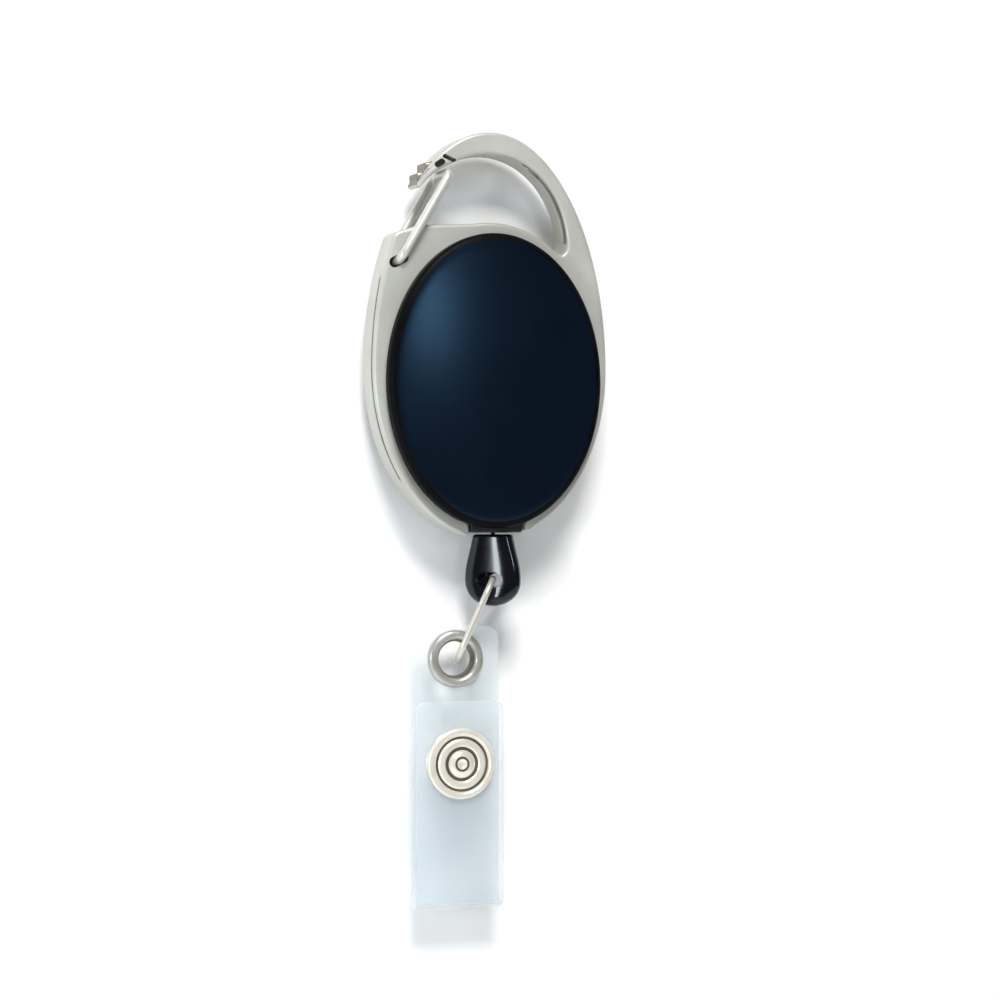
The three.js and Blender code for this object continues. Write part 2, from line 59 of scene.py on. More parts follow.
EXIT_X, EXIT_FRONT, EXIT_HALF_GAP, EXIT_BOTTOM, EXIT_TOP = 0.9, 1.0, 4.8, -24.6, -21.0
COVER_X, COVER_Z = 18.2, 23.9
SPLIT, REAR_FACE = -1.2, -5.0
CASE_SCREWS, BOSS_RADIUS = [(0.0, 18.4), (10.4, -14.0), (-10.4, -14.0)], 1.9
CORD_RADIUS = 0.34
END_TOP, END_BOTTOM, END_BELLY, END_TURN = -24.9, -36.6, -32.2, math.radians(-42)
END_TOP_HALF, END_HALF = 3.2, 4.8
HOLE_CENTRE, HOLE_HALF_WIDTH, HOLE_HALF_HEIGHT = -32.4, 2.4, 1.35
LINK_RADIUS, LINK_HALF_WIDTH, LINK_LENGTH, LINK_TOP = 0.52, 3.2, 14.7, -32.2
LINK_TURN, LINK_TILT = math.radians(-20), math.radians(24)
STRAP_X, STRAP_HALF, STRAP_TOP, FLAP_TOP, FOLD_Z = -4.918, 7.5, -40.0, -52.0, -84.2
STRAP_BACK, STRAP_THICKNESS, STRAP_FRONT = -1.35, 0.6, 1.65
EYELET_Z, SNAP_Z = -45.2, -62.1
# how far the cutting tools reach, in front of and behind the middle
CUT = 6.0


def at(x, front, z):
    """The place, in metres, of a point given in millimetres."""
    return Vector((x * MM, -front * MM, (z - HOOK_HEIGHT) * MM))


def angles_round(count):
    return [2 * math.pi * i / count for i in range(count)]


def spun(first, second, angle):
    """Two coordinates turned by an angle, from the first towards the second."""
    c, s = math.cos(angle), math.sin(angle)
    return c * first - s * second, s * first + c * second


def smooth_step(value, low, high):
    """0 below low, 1 above high, and a smooth rise between."""
    t = min(1.0, max(0.0, (value - low) / (high - low)))
    return t * t * (3 - 2 * t)


def window(value, low, high, soft):
    """1 between low and high, falling to 0 over a soft distance outside them."""
    return smooth_step(value, low - soft, low) * (1 - smooth_step(value, high, high + soft))


# ---- meshes ----
def new_object(name, points, faces):
    """An object made of those points and faces, with its faces turned outward."""
    mesh = bpy.data.meshes.new(name)
    mesh.from_pydata([at(*point) for point in points], [], faces)
    form = bmesh.new()
    form.from_mesh(mesh)
    bmesh.ops.remove_doubles(form, verts=form.verts, dist=1e-8)
    bmesh.ops.recalc_face_normals(form, faces=form.faces)
    form.to_mesh(mesh)
    form.free()
    made = bpy.data.objects.new(name, mesh)
    bpy.context.scene.collection.objects.link(made)
    return made


def joined_rings(rings, closed=False):
    """Points and faces of a skin over rings of points; a ring with one point is a pole."""
    points, faces, starts = [], [], []
    for ring in rings:
        starts.append(len(points))
        points.extend(ring)
    pairs = [(i, i + 1) for i in range(len(rings) - 1)]
    if closed:
        pairs.append((len(rings) - 1, 0))
    for first, second in pairs:
        a, b = starts[first], starts[second]
        count = max(len(rings[first]), len(rings[second]))
        for i in range(count):
            j = (i + 1) % count
            if len(rings[first]) == 1:
                faces.append((a, b + j, b + i))
            elif len(rings[second]) == 1:
                faces.append((a + i, a + j, b))
            else:
                faces.append((a + i, a + j, b + j, b + i))
    return points, faces


def cylinder(radius, back, front):
    """The profile of a plain round bar, for turned."""
    return [(0, back), (radius, back), (radius, front), (0, front)]


def ring_solid(name, rings, closed=False, capped=False):
    """A skin over rings of points: closed into a loop, or capped at both ends."""
    points, faces = joined_rings(rings, closed)
    if capped:
        last = len(points) - len(rings[-1])
        faces.append(tuple(range(len(rings[0]))))
        faces.append(tuple(range(last, len(points))))
    return new_object(name, points, faces)


def turned(name, profile, x=0.0, z=0.0, segments=72, closed=False):
    """A profile of (radius, front), turned about a line from front to back through (x, z)."""
    rings = []
    for radius, front in profile:
        if radius == 0:
            rings.append([(x, front, z)])
            continue
        angles = angles_round(segments)
        rings.append([(x + radius * math.cos(a), front, z + radius * math.sin(a)) for a in angles])
    return ring_solid(name, rings, closed)


def tube(name, path, radius, sides=16, closed=False):
    """A round bar along a path of (x, front, z) points, with ends a little rounded."""
    places = [Vector(point) for point in path]
    count = len(places)
    rings = []
    side = None
    for i, place in enumerate(places):
        before = places[i - 1] if closed or i > 0 else place
        after = places[(i + 1) % count] if closed or i < count - 1 else place
        along = (after - before).normalized()
        if side is None:
            side = along.orthogonal().normalized()
        side = (side - along * side.dot(along)).normalized()
        other = along.cross(side)
        size = radius(i / (count - 1)) if callable(radius) else radius
        angles = angles_round(sides)
        rings.append([tuple(place + (side * math.cos(a) + other * math.sin(a)) * size) for a in angles])
        if not closed and i in (0, count - 1):
            outward = -along if i == 0 else along
            rounding = [(0.6, 0.3), (0.9, 0.15)] if i == 0 else [(0.9, 0.15), (0.6, 0.3)]
            ends = []
            for share, push in rounding:
                middle = place + outward * size * push
                ends.append([
                    tuple(middle + (side * math.cos(a) + other * math.sin(a)) * size * share) for a in angles
                ])
            rings = ends + rings if i == 0 else rings + ends
    return ring_solid(name, rings, closed, capped=not closed)


def rounded_path(points, bend, steps=10, pitch=0.5):
    """Straight runs through the points, with rounded corners, sampled about every pitch."""
    corners = [Vector(point) for point in points]
    path = [corners[0]]

    def run_to(end):
        start = path[-1]
        count = max(1, round((end - start).length / pitch))
        path.extend(start.lerp(end, i / count) for i in range(1, count + 1))

    for i in range(1, len(corners) - 1):
        corner = corners[i]
        into = corner + (corners[i - 1] - corner).normalized() * bend
        out = corner + (corners[i + 1] - corner).normalized() * bend
        run_to(into)
        for k in range(1, steps + 1):
            t = k / steps
            path.append(into * (1 - t) ** 2 + corner * 2 * t * (1 - t) + out * t * t)
    run_to(corners[-1])
    return [tuple(point) for point in path]


def upright_bore(profile, x, front, segments):
    """A profile of (radius, z), turned about the upright line through (x, front)."""
    rings = []
    for radius, z in profile:
        angles = angles_round(segments)
        rings.append([(x + radius * math.cos(a), front + radius * math.sin(a), z) for a in angles])
    return ring_solid("bore", rings, capped=True)


def block(name, outline, back, front):
    """An outline of (x, z) points, made solid from one frontness to another."""
    rings = [[(x, depth, z) for x, z in outline] for depth in (back, front)]
    return ring_solid(name, rings, capped=True)


def capsule(name, start, end, half, back, front, segments=16):
    """A slot with round ends from start to end, through the object."""
    along = math.atan2(end[1] - start[1], end[0] - start[0])
    outline = []
    for centre, first in ((end, along - math.pi / 2), (start, along + math.pi / 2)):
        for i in range(segments + 1):
            angle = first + math.pi * i / segments
            outline.append((centre[0] + half * math.cos(angle), centre[1] + half * math.sin(angle)))
    return block(name, outline, back, front)


def apply_modifiers(piece):
    """Makes the piece's mesh what its modifiers show."""
    graph = bpy.context.evaluated_depsgraph_get()
    piece.data = bpy.data.meshes.new_from_object(piece.evaluated_get(graph))
    piece.modifiers.clear()
    return piece


def carve(piece, *tools, operation="DIFFERENCE"):
    """Cuts the tools out of the piece one by one, or with UNION adds them to it."""
    for tool in tools:
        modifier = piece.modifiers.new("carve", "BOOLEAN")
        modifier.operation = operation
        modifier.solver = "EXACT"
        modifier.object = tool
        apply_modifiers(piece)
        bpy.data.objects.remove(tool)
    clean(piece)
    return piece


def clean(piece):
    """Merges points a thousandth of a millimetre apart, and drops faces without area."""
    mesh = bmesh.new()
    mesh.from_mesh(piece.data)
    bmesh.ops.remove_doubles(mesh, verts=mesh.verts, dist=0.001 * MM)
    bmesh.ops.dissolve_degenerate(mesh, edges=mesh.edges, dist=0.0005 * MM)
    mesh.to_mesh(piece.data)
    mesh.free()


def soften(piece, width, angle=40, segments=3):
    """Rounds the edges that are sharper than the angle."""
    modifier = piece.modifiers.new("soften", "BEVEL")
    modifier.width = width * MM
    modifier.segments = segments
    modifier.limit_method = "ANGLE"
    modifier.angle_limit = math.radians(angle)
    modifier.harden_normals = False
    return apply_modifiers(piece)


def two_toned(piece, plain, second, is_second):
    """Gives the faces whose centres pass the test the second finish, and the rest the plain one."""
    piece.data.materials.clear()
    piece.data.materials.append(plain)
    piece.data.materials.append(second)
    for face in piece.data.polygons:
        face.material_index = 1 if is_second(face.center) else 0


def reach_from(spot, x, z):
    """How far, in millimetres, a place in the scene is from the line through (x, z) from front to back."""
    return math.hypot(spot.x / MM - x, spot.z / MM + HOOK_HEIGHT - z)


def placed(piece, finish, body, nodes, sharp=35):
    """Gives a piece its finish unless it has one, and says what it rides on and stands for."""
    if not piece.data.materials:
        piece.data.materials.append(FINISHES[finish])
    piece.data.shade_smooth()
    piece.data.set_sharp_from_angle(angle=math.radians(sharp))
    if body:
        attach(piece, body)
    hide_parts(*nodes)
    return piece


# ---- materials ----
class Finish:
    """A procedural material: a Principled shader, with nodes that vary its colour, roughness and bump."""

    def __init__(self, name, **constants):
        self.material = bpy.data.materials.new(name)
        self.material.use_nodes = True
        self.nodes = self.material.node_tree.nodes
        self.links = self.material.node_tree.links
        self.shader = self.nodes["Principled BSDF"]
        for socket, value in constants.items():
            self.shader.inputs[socket.replace("_", " ")].default_value = value
        self.place = self.nodes.new("ShaderNodeTexCoord").outputs["Object"]
        self.last_bump = None

    def noise(self, scale, detail=3.0, stretch=None, roughness=0.5):
        place = self.place
        if stretch:
            mapping = self.nodes.new("ShaderNodeMapping")
            mapping.inputs["Scale"].default_value = stretch
            self.links.new(place, mapping.inputs["Vector"])
            place = mapping.outputs["Vector"]
        node = self.nodes.new("ShaderNodeTexNoise")
        node.inputs["Scale"].default_value = scale
        node.inputs["Detail"].default_value = detail
        node.inputs["Roughness"].default_value = roughness
        self.links.new(place, node.inputs["Vector"])
        return node.outputs["Fac"]

    def colours(self, factor, first, second, low=0.35, high=0.65):
        ramp = self.nodes.new("ShaderNodeValToRGB")
        ramp.color_ramp.elements[0].position = low
        ramp.color_ramp.elements[1].position = high
        ramp.color_ramp.elements[0].color = (*first, 1)
        ramp.color_ramp.elements[1].color = (*second, 1)
        self.links.new(factor, ramp.inputs["Fac"])
        self.links.new(ramp.outputs["Color"], self.shader.inputs["Base Color"])
        return self

    def range(self, factor, socket, low, high):
        node = self.nodes.new("ShaderNodeMapRange")
        node.inputs["To Min"].default_value = low
        node.inputs["To Max"].default_value = high
        self.links.new(factor, node.inputs["Value"])
        self.links.new(node.outputs["Result"], self.shader.inputs[socket])
        return self

    def bump(self, height, depth_mm, strength=0.5):
        node = self.nodes.new("ShaderNodeBump")
        node.inputs["Strength"].default_value = strength
        node.inputs["Distance"].default_value = depth_mm * MM
        self.links.new(height, node.inputs["Height"])
        if self.last_bump:
            self.links.new(self.last_bump, node.inputs["Normal"])
        self.last_bump = node.outputs["Normal"]
        self.links.new(self.last_bump, self.shader.inputs["Normal"])
        return self


def satin_nickel():
    finish = Finish("satin_nickel", Metallic=0.35, Roughness=0.40)
    broad = finish.noise(90, 4)
    grain = finish.noise(900, 2, stretch=(1, 1, 0.35))
    finish.colours(broad, (0.45, 0.445, 0.40), (0.53, 0.53, 0.485))
    finish.range(grain, "Roughness", 0.34, 0.50)
    return finish.bump(grain, 0.02, 0.25).material


def spring_steel(name, low, high, roughness, metallic=0.9):
    """Drawn bright metal, with marks along its length."""
    finish = Finish(name, Metallic=metallic, Roughness=roughness)
    broad = finish.noise(160, 3)
    drawn = finish.noise(1400, 2, stretch=(1, 1, 0.2))
    finish.colours(broad, low, high)
    finish.range(drawn, "Roughness", roughness - 0.05, roughness + 0.08)
    return finish.bump(drawn, 0.01, 0.2).material


def snap_nickel():
    finish = Finish("snap_nickel", Metallic=0.4, Roughness=0.3)
    broad = finish.noise(260, 4)
    finish.colours(broad, (0.80, 0.755, 0.64), (0.90, 0.86, 0.77))
    finish.range(finish.noise(1100, 2), "Roughness", 0.24, 0.38)
    return finish.bump(finish.noise(1500, 2), 0.01, 0.2).material


def navy_enamel():
    """Smooth, very dark blue, with a blue sheen."""
    finish = Finish("navy_cover", Roughness=0.26, Specular_IOR_Level=0.36, Specular_Tint=(0.35, 0.68, 1.0, 1))
    finish.colours(finish.noise(70, 3), (0.0012, 0.0028, 0.0075), (0.0018, 0.0042, 0.0105))
    finish.range(finish.noise(500, 3), "Roughness", 0.22, 0.27)
    return finish.bump(finish.noise(1300, 2), 0.003, 0.15).material


def moulded_black(name, roughness, texture_scale, depth, low=0.004, high=0.009, specular=0.35):
    """Black plastic with a fine moulded texture."""
    finish = Finish(name, Roughness=roughness, Specular_IOR_Level=specular)
    finish.colours(finish.noise(150, 3), (low, low, low * 1.25), (high, high * 1.02, high * 1.3))
    finish.range(finish.noise(700, 3), "Roughness", roughness - 0.05, roughness + 0.08)
    return finish.bump(finish.noise(texture_scale, 3), depth, 0.35).material


def gloss_black():
    finish = Finish("gloss_black", Roughness=0.12, Specular_IOR_Level=0.4)
    finish.colours(finish.noise(200, 2), (0.0015, 0.002, 0.004), (0.003, 0.004, 0.007))
    finish.range(finish.noise(900, 2), "Roughness", 0.10, 0.18)
    return finish.bump(finish.noise(250, 2), 0.003, 0.1).material


def white_plastic():
    finish = Finish("white_plastic", Roughness=0.45)
    finish.colours(finish.noise(120, 3), (0.62, 0.62, 0.60), (0.72, 0.72, 0.70))
    return finish.bump(finish.noise(1200, 2), 0.01, 0.3).material


def braided_cord():
    """Fine black cord, with its braid as cells."""
    finish = Finish("black_cord", Roughness=0.8, Sheen_Weight=0.3, Sheen_Roughness=0.5)
    weave = finish.nodes.new("ShaderNodeTexVoronoi")
    weave.inputs["Scale"].default_value = 4200
    finish.links.new(finish.place, weave.inputs["Vector"])
    finish.colours(weave.outputs["Distance"], (0.010, 0.011, 0.014), (0.032, 0.034, 0.040), 0.1, 0.7)
    return finish.bump(weave.outputs["Distance"], 0.05, 0.6).material


def clear_vinyl():
    """Soft clear vinyl: more milky seen along its surface than through it."""
    finish = Finish("clear_vinyl", Roughness=0.18, IOR=1.48)
    haze = finish.noise(110, 4)
    finish.colours(haze, (0.69, 0.79, 0.85), (0.80, 0.87, 0.91))
    facing = finish.nodes.new("ShaderNodeLayerWeight")
    facing.inputs["Blend"].default_value = 0.35
    finish.range(facing.outputs["Facing"], "Alpha", 0.19, 0.82)
    return finish.bump(finish.noise(60, 2), 0.05, 0.15).material


FINISHES = {
    "satin_nickel": satin_nickel(),
    "gate_steel": spring_steel("gate_steel", (0.60, 0.59, 0.55), (0.70, 0.69, 0.65), 0.36, 0.5),
    "navy_cover": navy_enamel(),
    "black_case": moulded_black("black_case", 0.42, 2600, 0.02, 0.009, 0.016),
    "gloss_black": gloss_black(),
    "white_plastic": white_plastic(),
    "inner_steel": spring_steel("inner_steel", (0.42, 0.43, 0.44), (0.60, 0.61, 0.62), 0.3),
    "black_cord": braided_cord(),
    "link_steel": spring_steel("link_steel", (0.60, 0.58, 0.52), (0.71, 0.69, 0.63), 0.34, 0.55),
    "clear_vinyl": clear_vinyl(),
    "snap_nickel": snap_nickel(),
    "eyelet_nickel": spring_steel("eyelet_nickel", (0.44, 0.43, 0.39), (0.60, 0.59, 0.55), 0.32, 0.6),
}
COVER_WALL = moulded_black("cover_wall", 0.4, 1800, 0.01, 0.002, 0.004, 0.04)
# Painted shade: a darker, browner copy of the metal for the floors of the frame's side groove and arch's
# channel, its ridged nose end and the eyelet's throat.
GROOVE_PAINTED_SHADE = spring_steel("groove_painted_shade", (0.20, 0.19, 0.16), (0.30, 0.285, 0.25), 0.45)
# Painted shade with a brown painted reflection, for the snap cap's grooves.
SNAP_GROOVE_PAINTED_SHADE = spring_steel("snap_groove_painted_shade", (0.13, 0.095, 0.065), (0.22, 0.17, 0.13), 0.45)
# Painted shade: a dark copy of the metal for the floors of the nose's pockets.
POCKET_PAINTED_SHADE = spring_steel("pocket_painted_shade", (0.12, 0.105, 0.09), (0.19, 0.17, 0.15), 0.5, 0.3)


# ---- stage ----
def camera():
    """Where the photograph was taken from: a little to the left, level with the object."""
    data = bpy.data.cameras.new("camera")
    data.lens = 100
    data.sensor_width = 36
    data.clip_start, data.clip_end = 0.01, 10
    taken_from = bpy.data.objects.new("camera", data)
    bpy.context.scene.collection.objects.link(taken_from)
    azimuth, distance = math.radians(-20), 0.455
    target = at(2.5, 0, -19.3)
    taken_from.location = target + Vector((math.sin(azimuth), -math.cos(azimuth), 0)) * distance
    taken_from.rotation_euler = (math.pi / 2, 0, azimuth)
    bpy.context.scene.camera = taken_from


def plain_sheet(name, corners, tone, glow, one_sided):
    """A flat sheet of the stage; a one-sided one can be seen only from its front."""
    mesh = bpy.data.meshes.new(name)
    mesh.from_pydata(corners, [], [(0, 1, 2, 3)])
    sheet = bpy.data.objects.new(name, mesh)
    bpy.context.scene.collection.objects.link(sheet)
    finish = Finish(name, Roughness=0.9)
    finish.shader.inputs["Specular IOR Level"].default_value = 0.1
    finish.shader.inputs["Emission Color"].default_value = (1, 1, 1, 1)
    finish.shader.inputs["Emission Strength"].default_value = glow
    finish.colours(finish.noise(6, 2), (tone, tone, tone), (tone * 1.01, tone * 1.01, tone * 1.01))
    if one_sided:
        clear = finish.nodes.new("ShaderNodeBsdfTransparent")
        mix = finish.nodes.new("ShaderNodeMixShader")
        side = finish.nodes.new("ShaderNodeNewGeometry")
        finish.links.new(side.outputs["Backfacing"], mix.inputs["Fac"])
        finish.links.new(finish.shader.outputs["BSDF"], mix.inputs[1])
        finish.links.new(clear.outputs["BSDF"], mix.inputs[2])
        finish.links.new(mix.outputs["Shader"], finish.nodes["Material Output"].inputs["Surface"])
    mesh.materials.append(finish.material)
    return sheet


def backdrop():
    """A pale wall close behind the reel, seen only from the front, and a pale floor far below."""
    wall_y, wall_side, side, top, floor_z = 0.0057, 0.7, 2.0, 1.2, -0.80
    wall = [(-wall_side, floor_z), (wall_side, floor_z), (wall_side, top), (-wall_side, top)]
    floor = [(-side, -side), (side, -side), (side, side), (-side, side)]
    plain_sheet("backdrop_wall", [(x, wall_y, z) for x, z in wall], tone=0.93, glow=0.0, one_sided=True)
    plain_sheet("floor", [(x, y, floor_z) for x, y in floor], tone=0.85, glow=0.72, one_sided=False)


def soft_light(name, place, size, power, tone=(1, 1, 1), target=(0, 0, -0.05)):
    """A rectangular light that points at the target."""
    data = bpy.data.lights.new(name, "AREA")
    data.shape = "RECTANGLE"
    data.size, data.size_y = size
    data.energy = power
    data.color = tone
    light = bpy.data.objects.new(name, data)
    bpy.context.scene.collection.objects.link(light)
    light.location = place
    light.rotation_euler = (Vector(target) - Vector(place)).to_track_quat("-Z", "Y").to_euler()
    return light


def lighting():
    """One large key light from above, a narrow streak, a sheen for the cover, and light from behind."""
    world = bpy.data.worlds.new("studio")
    bpy.context.scene.world = world
    world.use_nodes = True
    nodes, links = world.node_tree.nodes, world.node_tree.links
    background = nodes["Background"]
    background.inputs["Color"].default_value = (0.97, 0.985, 1.0, 1)
    background.inputs["Strength"].default_value = 0.11
    pale = nodes.new("ShaderNodeBackground")
    pale.inputs["Color"].default_value = (0.93, 0.94, 0.95, 1)
    seen = nodes.new("ShaderNodeLightPath")
    mix = nodes.new("ShaderNodeMixShader")
    links.new(seen.outputs["Is Camera Ray"], mix.inputs["Fac"])
    links.new(background.outputs["Background"], mix.inputs[1])
    links.new(pale.outputs["Background"], mix.inputs[2])
    links.new(mix.outputs["Shader"], nodes["World Output"].inputs["Surface"])
    soft_light("key", (-0.15, -0.69, 0.74), (0.36, 0.27), 11.8, (1.0, 0.99, 0.965))
    soft_light("streak", (-0.42, -0.28, -0.06), (0.08, 0.16), 0.9, (0.86, 0.93, 1.0))
    soft_light("cover_sheen", (0.085, -0.71, 0.095), (0.04, 0.10), 0.36, (0.70, 0.86, 1.0))
    soft_light("back_fill", (0.2, 0.7, 0.3), (0.5, 0.5), 5.0)
    bpy.context.scene.view_settings.view_transform = "Standard"
    bpy.context.scene.view_settings.look = "None"


# ---- frame ----
def outer_top(x):
    """The angle at which the frame's upper outline passes x."""
    return math.acos(x / HALF_WIDTH)


def outer_point(x):
    """The point of the frame's upper outline at x."""
    return Vector((x, CENTRE_Z + RISE * math.sin(outer_top(x))))


def outer_normal(x):
    """The outward normal of the frame's upper outline at x."""
    point = outer_point(x)
    return Vector((point.x / HALF_WIDTH**2, (point.y - CENTRE_Z) / RISE**2)).normalized()


def arc(kind, centre_z, radius_x, radius_z, start, end, steps=600):
    """Points along part of an ellipse about the frame's middle line, as (kind, point)."""
    points = []
    for i in range(steps + 1):
        angle = start + (end - start) * i / steps
        points.append((kind, Vector((radius_x * math.cos(angle), centre_z + radius_z * math.sin(angle)))))
    return points


def line(kind, start, end, steps=80):
    """Points along a straight line, as (kind, point)."""
    return [(kind, start.lerp(end, i / steps)) for i in range(steps + 1)]


def frame_outline():
    """The outline as (kind, point), anticlockwise: the outside, then under the arch, then the case's hole."""
    gap_right, gap_left = EXIT_X + EXIT_HALF_GAP, EXIT_X - EXIT_HALF_GAP
    turn = 2 * math.pi
    outline = arc("outside", CENTRE_Z, HALF_WIDTH, DROP, -math.acos(gap_right / HALF_WIDTH), 0)
    outline += arc("outside", CENTRE_Z, HALF_WIDTH, RISE, 0, outer_top(NOSE_TIP_X))
    normal = outer_normal(NOSE_TIP_X)
    tip = outer_point(NOSE_TIP_X) - normal * NOSE_THICKNESS
    outline += line("nose", outline[-1][1], tip)
    bend = tip + Vector((normal.y, -normal.x)) * NOSE_REACH
    blend = math.acos(ARCH_BLEND_X / ARCH_HALF_WIDTH)
    meet = Vector((ARCH_BLEND_X, ARCH_Z + ARCH_RISE * math.sin(blend)))
    for i in range(1, 200):
        t = i / 200
        outline.append(("nose", tip * (1 - t) ** 2 + bend * 2 * t * (1 - t) + meet * t * t))
    outline += arc("arch", ARCH_Z, ARCH_HALF_WIDTH, ARCH_RISE, blend, 0)
    ring_start = math.acos((ARCH_HALF_WIDTH - 1.0) / HALF_WIDTH)
    ring = arc("ring", 0, HALF_WIDTH, RING_Z, ring_start, outer_top(SHOULDER_X))
    outline += line("ring", outline[-1][1], ring[0][1]) + ring
    shoulder = Vector(SHOULDER_BEND)
    outer_left = arc("outside", CENTRE_Z, HALF_WIDTH, RISE, outer_top(SHOULDER_OUTER_X), math.pi)
    outline += line("ring", outline[-1][1], shoulder) + line("ring", shoulder, outer_left[0][1]) + outer_left
    outline += arc("outside", CENTRE_Z, HALF_WIDTH, DROP, math.pi, turn - math.acos(gap_left / HALF_WIDTH))
    hole = arc("hole", 0, HOLE_X, HOLE_Z, turn - math.acos(gap_left / HOLE_X), -math.acos(gap_right / HOLE_X))
    outline += line("gap", outline[-1][1], hole[0][1]) + hole
    return outline + line("gap", hole[-1][1], outline[0][1])


def on_nose(point):
    """Whether an (x, z) point of the frame is on the nose, the arch's free end."""
    return point.x < NOSE_RIGHT and point.y > NOSE_LOW


def evenly(outline):
    """The outline with points about 0.3 mm apart, and closer along the nose."""
    kept = [outline[0]]
    for kind, point in outline[1:]:
        pitch = 0.11 if on_nose(point) else 0.3
        if (point - kept[-1][1]).length >= pitch:
            kept.append((kind, point))
    if (kept[-1][1] - kept[0][1]).length < 0.1:
        kept.pop()
    return kept


def rounded_corners(outline, rounds):
    """The outline with each point moved towards its neighbours, some rounds long."""
    points = [point for _, point in outline]
    count = len(points)
    for _ in range(rounds):
        points = [
            points[i] * 0.5 + (points[i - 1] + points[(i + 1) % count]) * 0.25 for i in range(count)
        ]
    return [(outline[i][0], points[i]) for i in range(count)]


# the nose's ridges by x, how far the painted shade on its ridged end reaches, and its pockets as (start, end,
# half width)
RIDGES, RIDGED_TO_X = (-11.95, -10.6), -9.9
POCKETS = (((-9.2, 34.85), (-8.55, 35.3), 0.52), ((-8.05, 36.25), (-6.5, 35.6), 0.36))
POCKET_FLOOR = 1.9
RIDGE_HEIGHT, GROOVE_DEPTH, CHANNEL_DEPTH = 0.7, 0.6, 0.95


def wall_inset(kind, point, front):
    """How far the side wall lies inside the outline there: its groove, its ridges and the arch's channel."""
    inset = 0.0
    if kind == "outside" and not on_nose(point):
        along = window(point.y, -14.5, 15.0, 2.5)
        inset += GROOVE_DEPTH * along * window(front, 1.3, 2.0, 0.14)
    if kind == "outside" and on_nose(point):
        across = window(front, -2.35, 2.35, 0.2)
        for centre in RIDGES:
            inset -= RIDGE_HEIGHT * across * math.exp(-(((point.x - centre) / 0.36) ** 2))
    if kind == "arch":
        angle = math.atan2((point.y - ARCH_Z) / ARCH_RISE, point.x / ARCH_HALF_WIDTH)
        along = smooth_step(angle, 0.05, 0.09) * (1 - smooth_step(angle, 0.7, 1.25))
        inset += CHANNEL_DEPTH * along * window(front, 1.15, 2.35, 0.18)
    return inset


def frame_rows():
    """(inset, front) of each row of the side wall, from the back's rounded edge to the front's."""
    half, radius, steps = FRAME_HALF_DEPTH, FRAME_ROUND, 5
    rounding = []
    for i in range(steps + 1):
        angle = math.pi / 2 * i / steps
        rounding.append((radius * (1 - math.sin(angle)), half - radius * (1 - math.cos(angle))))
    back = [(inset, -front) for inset, front in rounding]
    middle = [(0.0, -2.3 + 0.2 * i) for i in range(12)]
    middle += [(0.0, 0.1 + 0.1 * i) for i in range(24)]
    return back + middle + list(reversed(rounding))


def nose_taper(point):
    """The nose narrows from front to back towards its tip."""
    if not on_nose(point):
        return 1.0
    return 0.76 + 0.24 * smooth_step(point.x, NOSE_TIP_X, -7.5)


def edge_shares(outline, reach):
    """How much of a rounded edge of that reach fits at each point: less at tight corners and thin parts."""
    count = len(outline)
    shares = []
    for i in range(count):
        before = outline[i][1] - outline[i - 2][1]
        after = outline[(i + 2) % count][1] - outline[i][1]
        turn = math.atan2(before.x * after.y - before.y * after.x, before.dot(after))
        bend = turn / (0.5 * (before.length + after.length))
        share = min(1.0, 0.6 / (bend * reach)) if bend > 0 else 1.0
        point = outline[i][1]
        if on_nose(point):
            share = min(share, 0.36 + 0.64 * smooth_step(point.x, NOSE_TIP_X, -8.0))
        shares.append(share)
    spread = 3
    lowest = [min(shares[(i + k) % count] for k in range(-spread, spread + 1)) for i in range(count)]
    for _ in range(6):
        lowest = [
            min(lowest[i], (lowest[i - 1] + lowest[i] + lowest[(i + 1) % count]) / 3) for i in range(count)
        ]
    return lowest


def carabiner_frame():
    """The metal frame: its outline swept from back to front, with slots for the gate and two pockets."""
    outline = rounded_corners(evenly(frame_outline()), 8)
    count = len(outline)
    normals = []
    for i in range(count):
        along = outline[(i + 1) % count][1] - outline[i - 1][1]
        normals.append(Vector((along.y, -along.x)).normalized())
    rows = frame_rows()
    support = 0.2
    shares = edge_shares(outline, FRAME_ROUND + support)
    rows = [(rows[0][0] + support, rows[0][1])] + rows + [(rows[-1][0] + support, rows[-1][1])]
    rings = []
    for inset, front in rows:
        ring = []
        for (kind, point), normal, share in zip(outline, normals, shares):
            depth = inset * share + (wall_inset(kind, point, front) if inset == 0 else 0)
            place = point - normal * depth
            ring.append((place.x, front * nose_taper(point), place.y))
        rings.append(ring)
    body = ring_solid("carabiner_body", rings, capped=True)
    slot_from, slot_to = (PIVOT[0] - 0.75, PIVOT[1] - 0.35), (PIVOT[0] + 0.75, PIVOT[1] + 0.45)
    slot_half, web_half = 0.86, 0.8
    for back, front in ((-CUT, -web_half), (web_half, CUT)):
        carve(body, capsule("slot", slot_from, slot_to, slot_half, back, front))
    for start, end, half in POCKETS:
        carve(body, capsule("pocket", start, end, half, POCKET_FLOOR, CUT))
    shade_recesses(body, outline)
    return placed(body, "satin_nickel", "case", ["carabiner_frame"], sharp=50)


def in_pocket(spot):
    """Whether an (x, z) point lies in one of the two pockets of the nose's front face."""
    for start, end, half in POCKETS:
        low, span = Vector(start), Vector(end) - Vector(start)
        share = min(1.0, max(0.0, (spot - low).dot(span) / span.length_squared))
        if (low + span * share - spot).length < half + 0.03:
            return True
    return False


